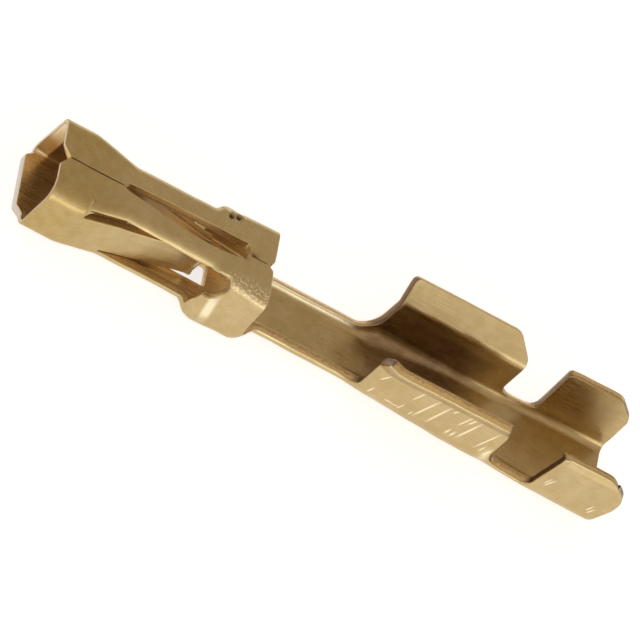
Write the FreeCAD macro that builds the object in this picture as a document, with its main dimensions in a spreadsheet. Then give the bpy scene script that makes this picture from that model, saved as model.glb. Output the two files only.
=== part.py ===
import FreeCAD, Part
import Sketcher
import math
import os

# Crimp socket contact: one strip of thin plated copper alloy, stamped to its outline and folded.
# +X runs from the socket's mouth to the tail, +Y to the far side, +Z up; the crimp wings open upward.
# While it is built, x = 0 is the front edge of the mouth's side walls. All lengths are in millimetres.

FULL = 3.0  # reach of a cut that goes right through, more than any height or half width

DRIVING = {
    "sheet_thickness": 0.2,
    # the socket's mouth
    "mouth_length": 0.75,
    "mouth_width": 2.0,
    "mouth_foot_width": 2.1,
    "box_height": 1.48,
    "mouth_fold_radius": 0.45,
    "fold_radius": 0.24,
    "lead_in_length": 0.3,
    "lead_in_edge": 0.07,
    "lip_length": 0.2,
    "lip_width": 1.33,
    "seam_gap": 0.03,
    "seam_notch_length": 0.19,
    "seam_notch_width": 0.24,
    # the taper and the waist behind it
    "taper_length": 1.0,
    "corner_step_start": 0.1,
    "corner_step_length": 0.03,
    "waist_length": 2.08,
    "waist_foot_width": 1.66,
    "waist_shoulder_width": 1.42,
    # the cut-out springs in the waist's side walls
    "spring_sill": 0.27,
    "spring_narrowing": 0.06,
    "spring_lower_narrowing": 0.18,
    "spring_slot_height": 0.23,
    "spring_slot_front": 0.9,
    "spring_kerf": 0.03,
    "spring_crease_from_taper": 2.0,
    "spring_gap": 0.18,
    "spring_tip_length": 0.13,
    "spring_tip_opening": 0.06,
    # the slot along the top and the opening in the floor
    "slot_front": 1.55,
    "slot_front_near": 0.07,
    "slot_front_far": 0.12,
    "slot_rear": 4.47,
    "slot_rear_near": 0.24,
    "slot_widest_near": 0.32,
    "slot_widest_at": 3.75,
    "slot_rear_far": 0.15,
    "floor_opening_front": 2.3,
    "floor_opening_rear": 4.27,
    "floor_opening_width": 0.64,
    # the locking collar
    "lug_rise_length": 0.18,
    "lug_foot_width": 2.5,
    "lug_shoulder_width": 1.74,
    "collar_length": 1.17,
    "collar_rear_foot_width": 2.24,
    "collar_near_flare": 0.23,
    "collar_far_flare": 0.05,
    "window_length": 0.54,
    "window_height": 0.45,
    "window_head_cover": 0.15,
    "window_front_drop": 0.28,
    "window_radius": 0.2,
    "rear_seam_offset": 0.08,
    "rear_flap_chamfer": 0.12,
    "rear_flap_setback": 0.07,
    # the open channel
    "channel_blend": 0.35,
    "channel_length": 2.2,
    "channel_width": 1.58,
    "channel_wall_height": 0.29,
    "barrel_fold_radius": 0.38,
    # the wire barrel
    "wire_barrel_blend": 0.45,
    "wire_front_fold_radius": 0.62,
    "wire_fold_length": 1.8,
    "wire_barrel_width": 1.98,
    "wire_crease_height": 1.25,
    "wire_wing_flare": 0.72,
    "wire_wing_height": 1.73,
    "wire_wing_start": 8.02,
    "wire_wing_length": 3.08,
    "far_wire_wing_setback": 0.06,
    "far_wire_wing_length": 3.04,
    "wing_corner": 0.12,
    "near_wing_chamfer": 0.35,
    "far_wing_chamfer": 0.5,
    "wing_root_radius": 0.4,
    # the notch between the barrels and the insulation barrel
    "notch_floor_width": 1.8,
    "notch_height": 0.25,
    "notch_front_radius": 0.45,
    "notch_rear_radius": 0.25,
    "insulation_barrel_width": 2.14,
    "insulation_crease_height": 0.6,
    "insulation_wing_flare": 0.07,
    "insulation_wing_height": 1.64,
    "insulation_wing_start": 12.27,
    "insulation_wing_length": 1.65,
    "far_insulation_wing_lead": 0.28,
    "near_insulation_chamfer": 0.5,
    "far_insulation_chamfer": 0.42,
    "near_wing_overhang": 0.22,
    "near_wing_rise": 0.9,
}


class Size:
    """A length known twice: as its number now, and as the formula that the document keeps for it."""

    def __init__(self, number, formula):
        self.number = number
        self.formula = formula

    def combined(self, other, sign, number):
        other = as_size(other)
        return Size(number(self.number, other.number), f"({self.formula} {sign} {other.formula})")

    def __add__(self, other):
        return self.combined(other, "+", lambda a, b: a + b)

    def __sub__(self, other):
        return self.combined(other, "-", lambda a, b: a - b)

    def __mul__(self, other):
        return self.combined(other, "*", lambda a, b: a * b)

    def __truediv__(self, other):
        return self.combined(other, "/", lambda a, b: a / b)

    def __neg__(self):
        return self * -1

    def root(self):
        return Size(math.sqrt(self.number), f"sqrt({self.formula})")


def as_size(value):
    return value if isinstance(value, Size) else Size(value, f"({value})" if value < 0 else f"{value}")


doc = FreeCAD.newDocument("crimp_socket_contact")
sheet = doc.addObject("Spreadsheet::Sheet", "sizes")
for row, (alias, number) in enumerate(DRIVING.items(), start=1):
    sheet.set(f"A{row}", alias)
    sheet.set(f"B{row}", str(number))
    sheet.setAlias(f"B{row}", alias)
doc.recompute()


def size(alias):
    return Size(float(getattr(sheet, alias)), f"sizes.{alias}")


body = doc.addObject("PartDesign::Body", "contact")
body.Label = "crimp_socket_contact"


def add_sketch(name, role, distance=None):
    """A sketch on one of the body's own planes, or at a distance from it."""
    sketch = body.newObject("Sketcher::SketchObject", name)
    plane = [feature for feature in body.Origin.OriginFeatures if feature.Role == role][0]
    sketch.AttachmentSupport = [(plane, "")]
    sketch.MapMode = "FlatFace"
    if distance is not None:
        sketch.setExpression("AttachmentOffset.Base.z", as_size(distance).formula)
    return sketch


def pin(sketch, edge, end, corner):
    """Ties one end of an edge to a corner whose two coordinates are sizes."""
    for kind, place in (("DistanceX", corner[0]), ("DistanceY", corner[1])):
        index = sketch.addConstraint(Sketcher.Constraint(kind, -1, 1, edge, end, place.number))
        sketch.setExpression(f"Constraints[{index}]", place.formula)


def outline(sketch, corners, arcs=()):
    """Draws a closed outline. arcs names the sides, by the index of their first corner, that bend
    round a centre given as a point and a radius; every other side is straight."""
    arcs = dict(arcs)
    corners = [(as_size(across), as_size(up)) for across, up in corners]
    points = [FreeCAD.Vector(across.number, up.number, 0) for across, up in corners]
    edges = []
    for index, first in enumerate(points):
        last = points[(index + 1) % len(points)]
        if index in arcs:
            middle = FreeCAD.Vector(as_size(arcs[index][0]).number, as_size(arcs[index][1]).number, 0)
            radius = as_size(arcs[index][2])
            a, b = first - middle, last - middle
            turns_left = a.x * b.y - a.y * b.x > 0
            start, stop = (first, last) if turns_left else (last, first)
            circle = Part.Circle(middle, FreeCAD.Vector(0, 0, 1), radius.number)
            arc = Part.ArcOfCircle(circle, circle.parameter(start), circle.parameter(stop))
            edge = sketch.addGeometry(arc, False)
            edges.append((edge, 1 if turns_left else 2, 2 if turns_left else 1))
            bound = sketch.addConstraint(Sketcher.Constraint("Radius", edge, radius.number))
            sketch.setExpression(f"Constraints[{bound}]", radius.formula)
        else:
            edge = sketch.addGeometry(Part.LineSegment(first, last), False)
            edges.append((edge, 1, 2))
    for index, (edge, begin, end) in enumerate(edges):
        following, next_begin, _ = edges[(index + 1) % len(edges)]
        sketch.addConstraint(Sketcher.Constraint("Coincident", edge, end, following, next_begin))
        pin(sketch, edge, begin, corners[index])


def loft(name, kind, sketches):
    """A ruled body through sketches in order; kind adds it or takes it away."""
    feature = body.newObject(kind, name)
    feature.Refine = False
    feature.Profile = sketches[0]
    feature.Sections = sketches[1:]
    feature.Ruled = True
    for sketch in sketches:
        sketch.Visibility = False
    return feature


def volume_now():
    doc.recompute()
    return body.Shape.Volume


def pocket(name, sketch, both_sides=False, away=False):
    """A cut through everything on one side of its sketch, or on both. It must take material."""
    before = volume_now()
    cut = body.newObject("PartDesign::Pocket", name)
    cut.Refine = False
    cut.Profile = sketch
    cut.Type = 0
    cut.Length = 2 * FULL if both_sides else FULL
    cut.Midplane = both_sides
    cut.Reversed = away
    sketch.Visibility = False
    if not volume_now() < before - 1e-6:
        raise RuntimeError(f"{name} cuts nothing")
    return cut


sheet_thickness = size("sheet_thickness")
box_height = size("box_height")
mouth_half = size("mouth_width") / 2
fold_radius = size("fold_radius")

# stations along the strip
taper_start = size("mouth_length")
waist_start = taper_start + size("taper_length")
lug_start = waist_start + size("waist_length")
collar_start = lug_start + size("lug_rise_length")
channel_start = collar_start + size("collar_length")
channel_even = channel_start + size("channel_blend")
channel_end = channel_even + size("channel_length")
wire_front = channel_end + size("wire_barrel_blend")
wire_even = wire_front + size("wire_fold_length")
wire_wing_end = size("wire_wing_start") + size("wire_wing_length")
insulation_start = size("insulation_wing_start")
insulation_end = insulation_start + size("insulation_wing_length")
tail = insulation_end - size("near_wing_overhang")
far_wire_start = size("wire_wing_start") + size("far_wire_wing_setback")
far_wire_end = far_wire_start + size("far_wire_wing_length")


def box_corners(near_foot, near_shoulder, far_foot, far_shoulder, near_radius, far_radius, inset):
    """Corners of the folded box's section, from the floor's near end, with a round bend at each of
    its four folds. The side walls may lean. Returns the corners and the bends."""
    floor_at = inset
    top_at = box_height - inset
    reach = top_at - floor_at
    near_lean = (near_shoulder - near_foot) / reach
    far_lean = (far_shoulder - far_foot) / reach
    foot_radius = far_radius
    corners = [
        (-near_foot + foot_radius, floor_at),
        (far_foot - foot_radius, floor_at),
        (far_foot + far_lean * foot_radius, floor_at + foot_radius),
        (far_shoulder - far_lean * far_radius, top_at - far_radius),
        (far_shoulder - far_radius, top_at),
        (-near_shoulder + near_radius, top_at),
        (-near_shoulder + near_lean * near_radius, top_at - near_radius),
        (-near_foot - near_lean * foot_radius, floor_at + foot_radius),
    ]
    bends = {
        1: (far_foot - foot_radius, floor_at + foot_radius, foot_radius),
        3: (far_shoulder - far_radius, top_at - far_radius, far_radius),
        5: (-near_shoulder + near_radius, top_at - near_radius, near_radius),
        7: (-near_foot + foot_radius, floor_at + foot_radius, foot_radius),
    }
    return corners, bends


def box_section(name, station, widths, near_radius, inset):
    """One section of the box at a station, pushed in from the outer skin by inset."""
    sketch = add_sketch(name, "YZ_Plane", station)
    halves = [as_size(width) - inset for width in widths]
    corners, bends = box_corners(*halves, near_radius - inset, fold_radius - inset, inset)
    outline(sketch, corners, bends)
    return sketch


mouth_foot = size("mouth_foot_width") / 2
mouth = (mouth_foot, mouth_half, mouth_foot, mouth_half)
waist_foot = size("waist_foot_width") / 2
waist_shoulder = size("waist_shoulder_width") / 2
lug_foot = size("lug_foot_width") / 2
lug_shoulder = size("lug_shoulder_width") / 2
rear_foot = size("collar_rear_foot_width") / 2
waist = (waist_foot, waist_shoulder, waist_foot, waist_shoulder)
collar_front = (lug_foot, lug_shoulder, lug_foot, lug_shoulder)
rear_near_shoulder = lug_shoulder + size("collar_near_flare")
rear_far_shoulder = lug_shoulder + size("collar_far_flare")
collar_rear = (rear_foot, rear_near_shoulder, rear_foot, rear_far_shoulder)
big_radius = size("mouth_fold_radius")


def taper_widths(past_mouth):
    """The taper's four half widths at a distance behind the mouth."""
    share = past_mouth / size("taper_length")
    return tuple(wide + (narrow - wide) * share for wide, narrow in zip(mouth, waist))


# the near top corner is round at the mouth, and steps to a tighter bend just behind it
step_start = size("corner_step_start")
step_end = step_start + size("corner_step_length")

flush = as_size(0)

# the folded box: its outer skin from the mouth to the collar's rear edge, then the space inside it
skin = [
    box_section("skin_mouth", 0, mouth, big_radius, flush),
    box_section("skin_taper", taper_start, mouth, big_radius, flush),
    box_section("skin_round", taper_start + step_start, taper_widths(step_start), big_radius, flush),
    box_section("skin_tight", taper_start + step_end, taper_widths(step_end), fold_radius, flush),
    box_section("skin_waist", waist_start, waist, fold_radius, flush),
    box_section("skin_lug", lug_start, waist, fold_radius, flush),
    box_section("skin_collar", collar_start, collar_front, fold_radius, flush),
    box_section("skin_rear", channel_start, collar_rear, fold_radius, flush),
]
loft("box_skin", "PartDesign::AdditiveLoft", skin)
space = [
    box_section("space_mouth", 0, mouth, big_radius, size("lead_in_edge")),
    box_section("space_lead_in", size("lead_in_length"), mouth, big_radius, sheet_thickness),
    box_section("space_taper", taper_start, mouth, big_radius, sheet_thickness),
    box_section("space_round", taper_start + step_start, taper_widths(step_start), big_radius,
                sheet_thickness),
    box_section("space_tight", taper_start + step_end, taper_widths(step_end), fold_radius,
                sheet_thickness),
    box_section("space_waist", waist_start, waist, fold_radius, sheet_thickness),
    box_section("space_lug", lug_start, waist, fold_radius, sheet_thickness),
    box_section("space_collar", collar_start, collar_front, fold_radius, sheet_thickness),
    box_section("space_rear", channel_start, collar_rear, fold_radius, sheet_thickness),
]
loft("box_space", "PartDesign::SubtractiveLoft", space)


def trough_section(name, station, half, radius, crease, flare, height):
    """Section of the open trough: a flat floor, a round bend each side, upright walls, and above the
    crease the wings' lean outward. The tips are cut square to the sheet."""
    sketch = add_sketch(name, "YZ_Plane", station)
    inner_radius = radius - sheet_thickness
    flat = half - radius
    stretch = (flare * flare + 1).root()
    tip = half + flare * (height - crease)
    inner_crease = crease + sheet_thickness * (stretch - 1) / flare
    inner_tip = tip - sheet_thickness / stretch
    inner_height = height + sheet_thickness * flare / stretch
    inner_half = half - sheet_thickness
    right = [
        (flat, as_size(0)),
        (half, radius),
        (half, crease),
        (tip, height),
        (inner_tip, inner_height),
        (inner_half, inner_crease),
        (inner_half, radius),
        (flat, sheet_thickness),
    ]
    left = [(-across, up) for across, up in reversed(right)]
    bends = {
        0: (flat, radius, radius),
        6: (flat, radius, inner_radius),
        8: (-flat, radius, inner_radius),
        14: (-flat, radius, radius),
    }
    outline(sketch, right + left, bends)
    return sketch


fold = size("barrel_fold_radius")
channel_half = size("channel_width") / 2
wire_half = size("wire_barrel_width") / 2
insulation_half = size("insulation_barrel_width") / 2
wire_wing = (size("wire_crease_height"), size("wire_wing_flare"), size("wire_wing_height"))
insulation_wing = (
    size("insulation_crease_height"),
    size("insulation_wing_flare"),
    size("insulation_wing_height"),
)

# the open trough: channel, wire barrel and insulation barrel, with its walls at full height
trough = [
    trough_section("trough_start", channel_start, rear_foot, fold, *wire_wing),
    trough_section("trough_even", channel_even, channel_half, fold, *wire_wing),
    trough_section("trough_end", channel_end, channel_half, fold, *wire_wing),
    trough_section("trough_front", wire_front, wire_half, size("wire_front_fold_radius"), *wire_wing),
    trough_section("trough_wire", wire_even, wire_half, fold, *wire_wing),
    trough_section("trough_rear", far_wire_end, wire_half, fold, *wire_wing),
    trough_section("trough_insulation", insulation_start, insulation_half, fold, *insulation_wing),
    trough_section("trough_tail", insulation_end, insulation_half, fold, *insulation_wing),
]
loft("trough", "PartDesign::AdditiveLoft", trough)

# the lip: the floor reaches out in front of the mouth, with slanting corners
lip = add_sketch("lip", "XY_Plane")
lip_half = size("lip_width") / 2
lip_root = mouth_foot - fold_radius
outline(lip, [
    (0, -lip_root),
    (0, lip_root),
    (-size("lip_length"), lip_half),
    (-size("lip_length"), -lip_half),
])
lip_pad = body.newObject("PartDesign::Pad", "lip_pad")
lip_pad.Profile = lip
lip_pad.Refine = False
lip_pad.setExpression("Length", sheet_thickness.formula)


def wing_outline(side, wire_front, wire_rear, wire_chamfer,
                 insulation_front, insulation_rear, insulation_chamfer):
    """Everything that is cut away above the trough on one side, as three outlines in one sketch:
    over the channel, between the two wings, and off the insulation wing's rear."""
    sketch = add_sketch(f"{side}_wing_outline", "XZ_Plane")
    wall = size("channel_wall_height")
    low = size("notch_height")
    top = as_size(FULL)
    corner = size("wing_corner")
    root = size("wing_root_radius")
    notch_front = size("notch_front_radius")
    notch_rear = size("notch_rear_radius")
    wire_tip = size("wire_wing_height") + sheet_thickness
    insulation_tip = size("insulation_wing_height") + corner
    rear_tip = insulation_tip - insulation_chamfer
    outline(sketch, [
        (channel_start, wall),
        (wire_front - root, wall),
        (wire_front, wall + root),
        (wire_front, wire_tip - corner),
        (wire_front + corner, wire_tip),
        (wire_front + corner, top),
        (channel_start, top),
    ], {1: (wire_front - root, wall + root, root)})
    outline(sketch, [
        (wire_rear + notch_front, low),
        (insulation_front - notch_rear, low),
        (insulation_front, low + notch_rear),
        (insulation_front, insulation_tip - corner),
        (insulation_front + corner, insulation_tip),
        (insulation_front + corner, top),
        (wire_rear - wire_chamfer, top),
        (wire_rear - wire_chamfer, wire_tip),
        (wire_rear, wire_tip - wire_chamfer),
        (wire_rear, low + notch_front),
    ], {
        1: (insulation_front - notch_rear, low + notch_rear, notch_rear),
        9: (wire_rear + notch_front, low + notch_front, notch_front),
    })
    outline(sketch, [
        (insulation_rear, rear_tip),
        (past_tail, rear_tip),
        (past_tail, top),
        (insulation_rear - insulation_chamfer, top),
        (insulation_rear - insulation_chamfer, insulation_tip),
    ])
    return sketch


past_tail = insulation_end + as_size(FULL)
near_wings = wing_outline(
    "near", size("wire_wing_start"), wire_wing_end, size("near_wing_chamfer"),
    insulation_start, insulation_end, size("near_insulation_chamfer"),
)
pocket("near_wing_cut", near_wings, away=True)
far_insulation_start = insulation_start - size("far_insulation_wing_lead")
far_wings = wing_outline(
    "far", far_wire_start, far_wire_end, size("far_wing_chamfer"),
    far_insulation_start, tail, size("far_insulation_chamfer"),
)
pocket("far_wing_cut", far_wings)

# the strip is cut off square across the floor; only the near wing's edge slants out beyond it
tail_cut = add_sketch("tail_cut", "XZ_Plane")
outline(tail_cut, [
    (tail, -sheet_thickness),
    (past_tail, -sheet_thickness),
    (past_tail, size("near_wing_rise")),
    (insulation_end, size("near_wing_rise")),
    (tail, sheet_thickness),
])
pocket("tail_end", tail_cut, both_sides=True)
far_tail_cut = add_sketch("far_tail_cut", "XZ_Plane")
outline(far_tail_cut, [
    (tail, -sheet_thickness),
    (past_tail, -sheet_thickness),
    (past_tail, FULL),
    (tail, FULL),
])
pocket("far_tail_end", far_tail_cut)


def notch_side(side, start, end):
    """The notch between the wings also narrows the floor, cut from above."""
    sketch = add_sketch(f"{side}_notch_side", "XY_Plane")
    sign = -1 if side == "near" else 1
    root = size("notch_rear_radius") / 2
    edge = size("notch_floor_width") / 2
    outer = as_size(FULL)
    outline(sketch, [
        (start + root, edge * sign),
        (end - root, edge * sign),
        (end, (edge + root) * sign),
        (end, outer * sign),
        (start, outer * sign),
        (start, (edge + root) * sign),
    ], {
        1: (end - root, (edge + root) * sign, root),
        5: (start + root, (edge + root) * sign, root),
    })
    return sketch


near_notch = notch_side("near", wire_wing_end, insulation_start)
pocket("near_notch_cut", near_notch, both_sides=True)
far_notch = notch_side("far", far_wire_end, far_insulation_start)
pocket("far_notch_cut", far_notch, both_sides=True)

# the top: a notch and a seam at the mouth, the slot along the waist, and the seam behind it
seam_half = size("seam_gap") / 2
rear_seam = -size("rear_seam_offset")
rear_cut = channel_start - size("rear_flap_setback")
top_cut = add_sketch("top_cut", "XY_Plane", box_height / 2)
ahead = -size("seam_notch_length")
beyond = channel_start + size("rear_flap_chamfer")
side_reach = as_size(FULL)
outline(top_cut, [
    (ahead, -size("seam_notch_width")),
    (size("seam_notch_length"), -seam_half),
    (size("slot_front") - size("seam_gap"), -seam_half),
    (size("slot_front"), -size("slot_front_near")),
    (size("slot_widest_at"), -size("slot_widest_near")),
    (size("slot_rear"), -size("slot_rear_near")),
    (size("slot_rear") + size("rear_seam_offset"), rear_seam - seam_half),
    (rear_cut - size("rear_flap_chamfer"), rear_seam - seam_half),
    (rear_cut, rear_seam - seam_half - size("rear_flap_chamfer")),
    (rear_cut, -side_reach),
    (beyond, -side_reach),
    (beyond, side_reach),
    (rear_cut, side_reach),
    (rear_cut, rear_seam + seam_half + size("rear_flap_chamfer")),
    (rear_cut - size("rear_flap_chamfer"), rear_seam + seam_half),
    (size("slot_rear") + size("rear_seam_offset"), rear_seam + seam_half),
    (size("slot_rear"), size("slot_rear_far")),
    (size("slot_front") + size("seam_gap"), size("slot_front_far")),
    (size("slot_front") - size("seam_gap"), seam_half),
    (size("seam_notch_length"), seam_half),
    (ahead, size("seam_notch_width")),
])
pocket("top_opening", top_cut, away=True)

# the opening in the waist's floor, under the two springs
floor_cut = add_sketch("floor_cut", "XY_Plane")
floor_half = size("floor_opening_width") / 2
outline(floor_cut, [
    (size("floor_opening_front"), -floor_half),
    (size("floor_opening_rear"), -floor_half),
    (size("floor_opening_rear"), floor_half),
    (size("floor_opening_front"), floor_half),
])
floor_opening = body.newObject("PartDesign::Pocket", "floor_opening")
floor_opening.Profile = floor_cut
floor_opening.Refine = False
floor_opening.Type = 0
floor_opening.Midplane = True
floor_opening.setExpression("Length", (sheet_thickness * 4).formula)

# the side windows: the slot over each spring's root, the kerf under it, and the window itself
sill = size("spring_sill")
head = box_height - size("window_head_cover")
root_top = head - size("spring_slot_height")
slot_front = size("spring_slot_front")
window_rear = lug_start + size("window_length")
window_sill = head - size("window_height")
window_radius = size("window_radius")
window = add_sketch("window", "XZ_Plane")
outline(window, [
    (slot_front, root_top),
    (waist_start, root_top),
    (waist_start, sill - size("spring_kerf")),
    (lug_start, sill - size("spring_kerf")),
    (lug_start, window_sill - size("window_front_drop")),
    (window_rear - window_radius, window_sill),
    (window_rear, window_sill + window_radius),
    (window_rear, head - window_radius),
    (window_rear - window_radius, head),
    (slot_front, head),
], {
    7: (window_rear - window_radius, window_sill + window_radius, window_radius),
    9: (window_rear - window_radius, head - window_radius, window_radius),
})
pocket("windows", window, both_sides=True)


def spring(side):
    """A cantilever spring cut out of one side wall. It runs on straight from the taper to its
    crease, which touches the mating pin, and turns out again at its free end."""
    sign = -1 if side == "near" else 1
    lean = (waist_shoulder - waist_foot) / box_height
    root_foot = waist_foot + lean * sill
    root_shoulder = waist_foot + lean * root_top
    crease_at = waist_start + size("spring_crease_from_taper")
    touch = size("spring_gap") / 2
    free_end = touch + size("spring_tip_opening") / 2
    low = sill + size("spring_lower_narrowing")
    high = root_top - size("spring_narrowing")
    stations = [
        ("root", waist_start, root_foot, root_shoulder, sill, root_top),
        ("crease", crease_at, touch + sheet_thickness, touch + sheet_thickness, low, high),
        ("tip", crease_at + size("spring_tip_length"), free_end + sheet_thickness,
         free_end + sheet_thickness, low, high),
    ]
    sections = []
    for place, station, foot, shoulder, bottom, top in stations:
        sketch = add_sketch(f"{side}_spring_{place}", "YZ_Plane", station)
        outline(sketch, [
            (foot * sign, bottom),
            (shoulder * sign, top),
            ((shoulder - sheet_thickness) * sign, top),
            ((foot - sheet_thickness) * sign, bottom),
        ])
        sections.append(sketch)
    return loft(f"{side}_spring", "PartDesign::AdditiveLoft", sections)


spring("near")
spring("far")

# the model's own origin: under the middle of its length, on the surface that it rests on
body.setExpression("Placement.Base.x", (-(insulation_end - size("lip_length")) / 2).formula)
doc.recompute()

for item in doc.Objects:
    if "Invalid" in item.State or "Error" in item.State:
        raise RuntimeError(f"{item.Name} failed: {item.State}")
if body.Shape.isNull() or not body.Shape.isValid() or len(body.Shape.Solids) != 1:
    raise RuntimeError("the contact isn't one valid solid")

os.makedirs("parts", exist_ok=True)
body.Shape.exportStep(f"parts/{body.Label}.step")
box = body.Shape.BoundBox
print(f"{body.Label}: {box.XLength:.2f} x {box.YLength:.2f} x {box.ZLength:.2f} mm,",
      f"{body.Shape.Volume:.3f} cubic mm, {len(body.Shape.Faces)} faces")
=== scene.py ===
# %% [markdown]
# # A gold-plated crimp socket contact
# The contact is one strip of thin copper alloy. A press stamps its outline and its windows flat, folds
# the front into a square socket, and bends the rear into open wings that a crimp tool later closes on
# a wire. It is about 14 mm long and its sheet is 0.2 mm thick. This file builds it the same way: a flat
# blank first, then the folds, then the sheet's thickness and its sheared edges, and last the plating.

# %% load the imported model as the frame
import math

import bpy
import numpy as np
from mathutils import Matrix, Vector
from mathutils.geometry import delaunay_2d_cdt


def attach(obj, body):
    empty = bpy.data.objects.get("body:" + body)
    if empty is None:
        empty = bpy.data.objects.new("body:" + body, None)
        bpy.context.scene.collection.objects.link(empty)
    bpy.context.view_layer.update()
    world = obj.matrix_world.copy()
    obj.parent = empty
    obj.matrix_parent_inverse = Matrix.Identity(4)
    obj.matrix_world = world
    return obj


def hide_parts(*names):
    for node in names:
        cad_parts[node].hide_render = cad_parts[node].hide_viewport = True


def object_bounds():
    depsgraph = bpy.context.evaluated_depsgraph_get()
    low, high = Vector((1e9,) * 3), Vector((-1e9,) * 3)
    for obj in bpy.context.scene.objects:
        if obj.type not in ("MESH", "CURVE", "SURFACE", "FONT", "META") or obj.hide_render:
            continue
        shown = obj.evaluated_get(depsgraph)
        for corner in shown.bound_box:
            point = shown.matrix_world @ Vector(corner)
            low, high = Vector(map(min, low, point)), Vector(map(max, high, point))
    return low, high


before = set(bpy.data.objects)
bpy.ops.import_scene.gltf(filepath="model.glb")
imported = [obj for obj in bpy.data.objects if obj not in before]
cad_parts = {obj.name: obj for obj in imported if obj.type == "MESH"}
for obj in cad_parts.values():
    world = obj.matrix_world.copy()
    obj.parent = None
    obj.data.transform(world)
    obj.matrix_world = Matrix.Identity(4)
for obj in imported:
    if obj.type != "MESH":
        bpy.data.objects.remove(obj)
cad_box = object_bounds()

print("the packed model's box in mm:", [[round(value * 1000, 3) for value in corner] for corner in cad_box])

# %% [markdown]
# ## Lengths along the strip
# Everything here is in millimetres, counted from the front edge of the mouth's side walls, because a
# maker reads a contact's drawing that way. Only the finished points are turned into metres and shifted
# to the frame's origin.

# %% stations along the strip, in millimetres
MM = 0.001
SHEET = 0.2
LIP = 0.2
BOX_HEIGHT = 1.48
WAIST_START = 1.75
mouth_at = cad_box[0][0] / MM + LIP
print("the mouth's front edge stands at x =", round(mouth_at, 3), "mm in the frame")


def to_metres(points):
    return (np.asarray(points) + (mouth_at, 0.0, 0.0)) * MM


# %% [markdown]
# ## The fold's section
# A section across the strip is a floor, a bend, a wall, a second bend and a last straight run, the same
# on both sides. In the socket the second bend turns inward and the run is half of the top. In the crimp
# barrels it is a slight crease outward and the run is the wing's tip. So one rule with a few lengths
# that change along the strip describes the whole contact, and every surface is smooth by construction.

# %% a length that changes along the strip, with its corners softened
SOFT = 0.05
CRISP = 0.015


def fade(value, start, length):
    """0 before start, 1 once length has passed, and even in between. A negative length fades out."""
    return np.clip((value - start) / length, 0, 1)


def along(x, table, soften=SOFT):
    places, values = zip(*table)
    steps = (-1.0, -0.5, 0.0, 0.5, 1.0)
    return sum(np.interp(x + soften * step, places, values) for step in steps) / len(steps)


FAR, NEAR = 1, -1
MOUTH_FOOT = ((0.0, 1.05), (0.75, 1.05), (1.75, 0.83))
BARREL_FOOT = ((7.73, 0.79), (8.18, 0.99), (11.2, 0.99), (12.27, 1.07), (13.92, 1.07))
FOOT = {
    FAR: (*MOUTH_FOOT, (3.62, 0.83), (3.8, 1.2), (4.2, 1.24), (5.18, 1.12), (5.53, 0.79), *BARREL_FOOT),
    NEAR: (*MOUTH_FOOT, (3.82, 0.83), (3.93, 1.14), (4.1, 1.25), (4.38, 1.22), (4.7, 1.17),
           (5.05, 1.16), (5.2, 1.08), (5.5, 0.79), *BARREL_FOOT),
}
SHOULDER = {
    FAR: ((0.0, 1.0), (0.75, 1.0), (1.75, 0.71), (3.64, 0.71), (3.8, 0.86), (5.18, 0.92)),
    NEAR: ((0.0, 1.0), (0.75, 1.0), (1.75, 0.71), (3.84, 0.71), (3.99, 0.87), (5.18, 1.1)),
}
LOWER_BEND = ((0.0, 0.24), (5.0, 0.24), (5.4, 0.38), (7.73, 0.38), (8.18, 0.62), (9.98, 0.38), (13.92, 0.38))
UPPER_BEND = {
    FAR: ((0.0, 0.24), (5.2, 0.24)),
    NEAR: ((0.0, 0.45), (0.85, 0.45), (0.88, 0.24), (5.2, 0.24)),
}
CREASE_HEIGHT = ((5.6, 1.25), (11.4, 1.25), (11.9, 0.6), (13.92, 0.6))
FLARE = ((5.6, 0.624), (11.4, 0.624), (11.9, 0.07), (13.92, 0.07))
TIP_HEIGHT = ((5.6, 1.73), (11.4, 1.73), (11.9, 1.64), (13.92, 1.64))
CREASE_BEND = 0.1
SOCKET_END = 5.28
print("the mouth is", 2 * FOOT[FAR][0][1], "mm wide at its foot and", BOX_HEIGHT, "mm high")


# %% the section at x: its bends, and the lengths of its five runs
def section(x, side):
    socket = x < SOCKET_END
    foot = along(x, FOOT[side])
    shoulder = along(x, SHOULDER[side])
    opening = fade(x, 5.12, 0.3)
    lean = np.arctan2(foot - shoulder, BOX_HEIGHT) * (1 - opening)
    lower = along(x, LOWER_BEND)
    turn_lower = math.pi / 2 + lean
    set_lower = lower * np.tan(turn_lower / 2)
    flare = along(x, FLARE)
    turn_upper = np.where(socket, math.pi / 2 - lean, -flare)
    upper = np.where(socket, along(x, UPPER_BEND[side], CRISP), CREASE_BEND)
    set_upper = upper * np.tan(np.abs(turn_upper) / 2)
    corner_height = np.where(socket, BOX_HEIGHT, along(x, CREASE_HEIGHT))
    wall = corner_height / np.cos(lean)
    corner_across = foot - np.sin(lean) * wall
    tip = (along(x, TIP_HEIGHT) - corner_height) / np.cos(flare)
    last = np.where(socket, corner_across, tip) - set_upper
    straight_wall = wall - set_lower - set_upper
    runs = (foot - set_lower, lower * turn_lower, straight_wall, upper * np.abs(turn_upper), last)
    return runs, lean, lower, turn_lower, upper, turn_upper


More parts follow.
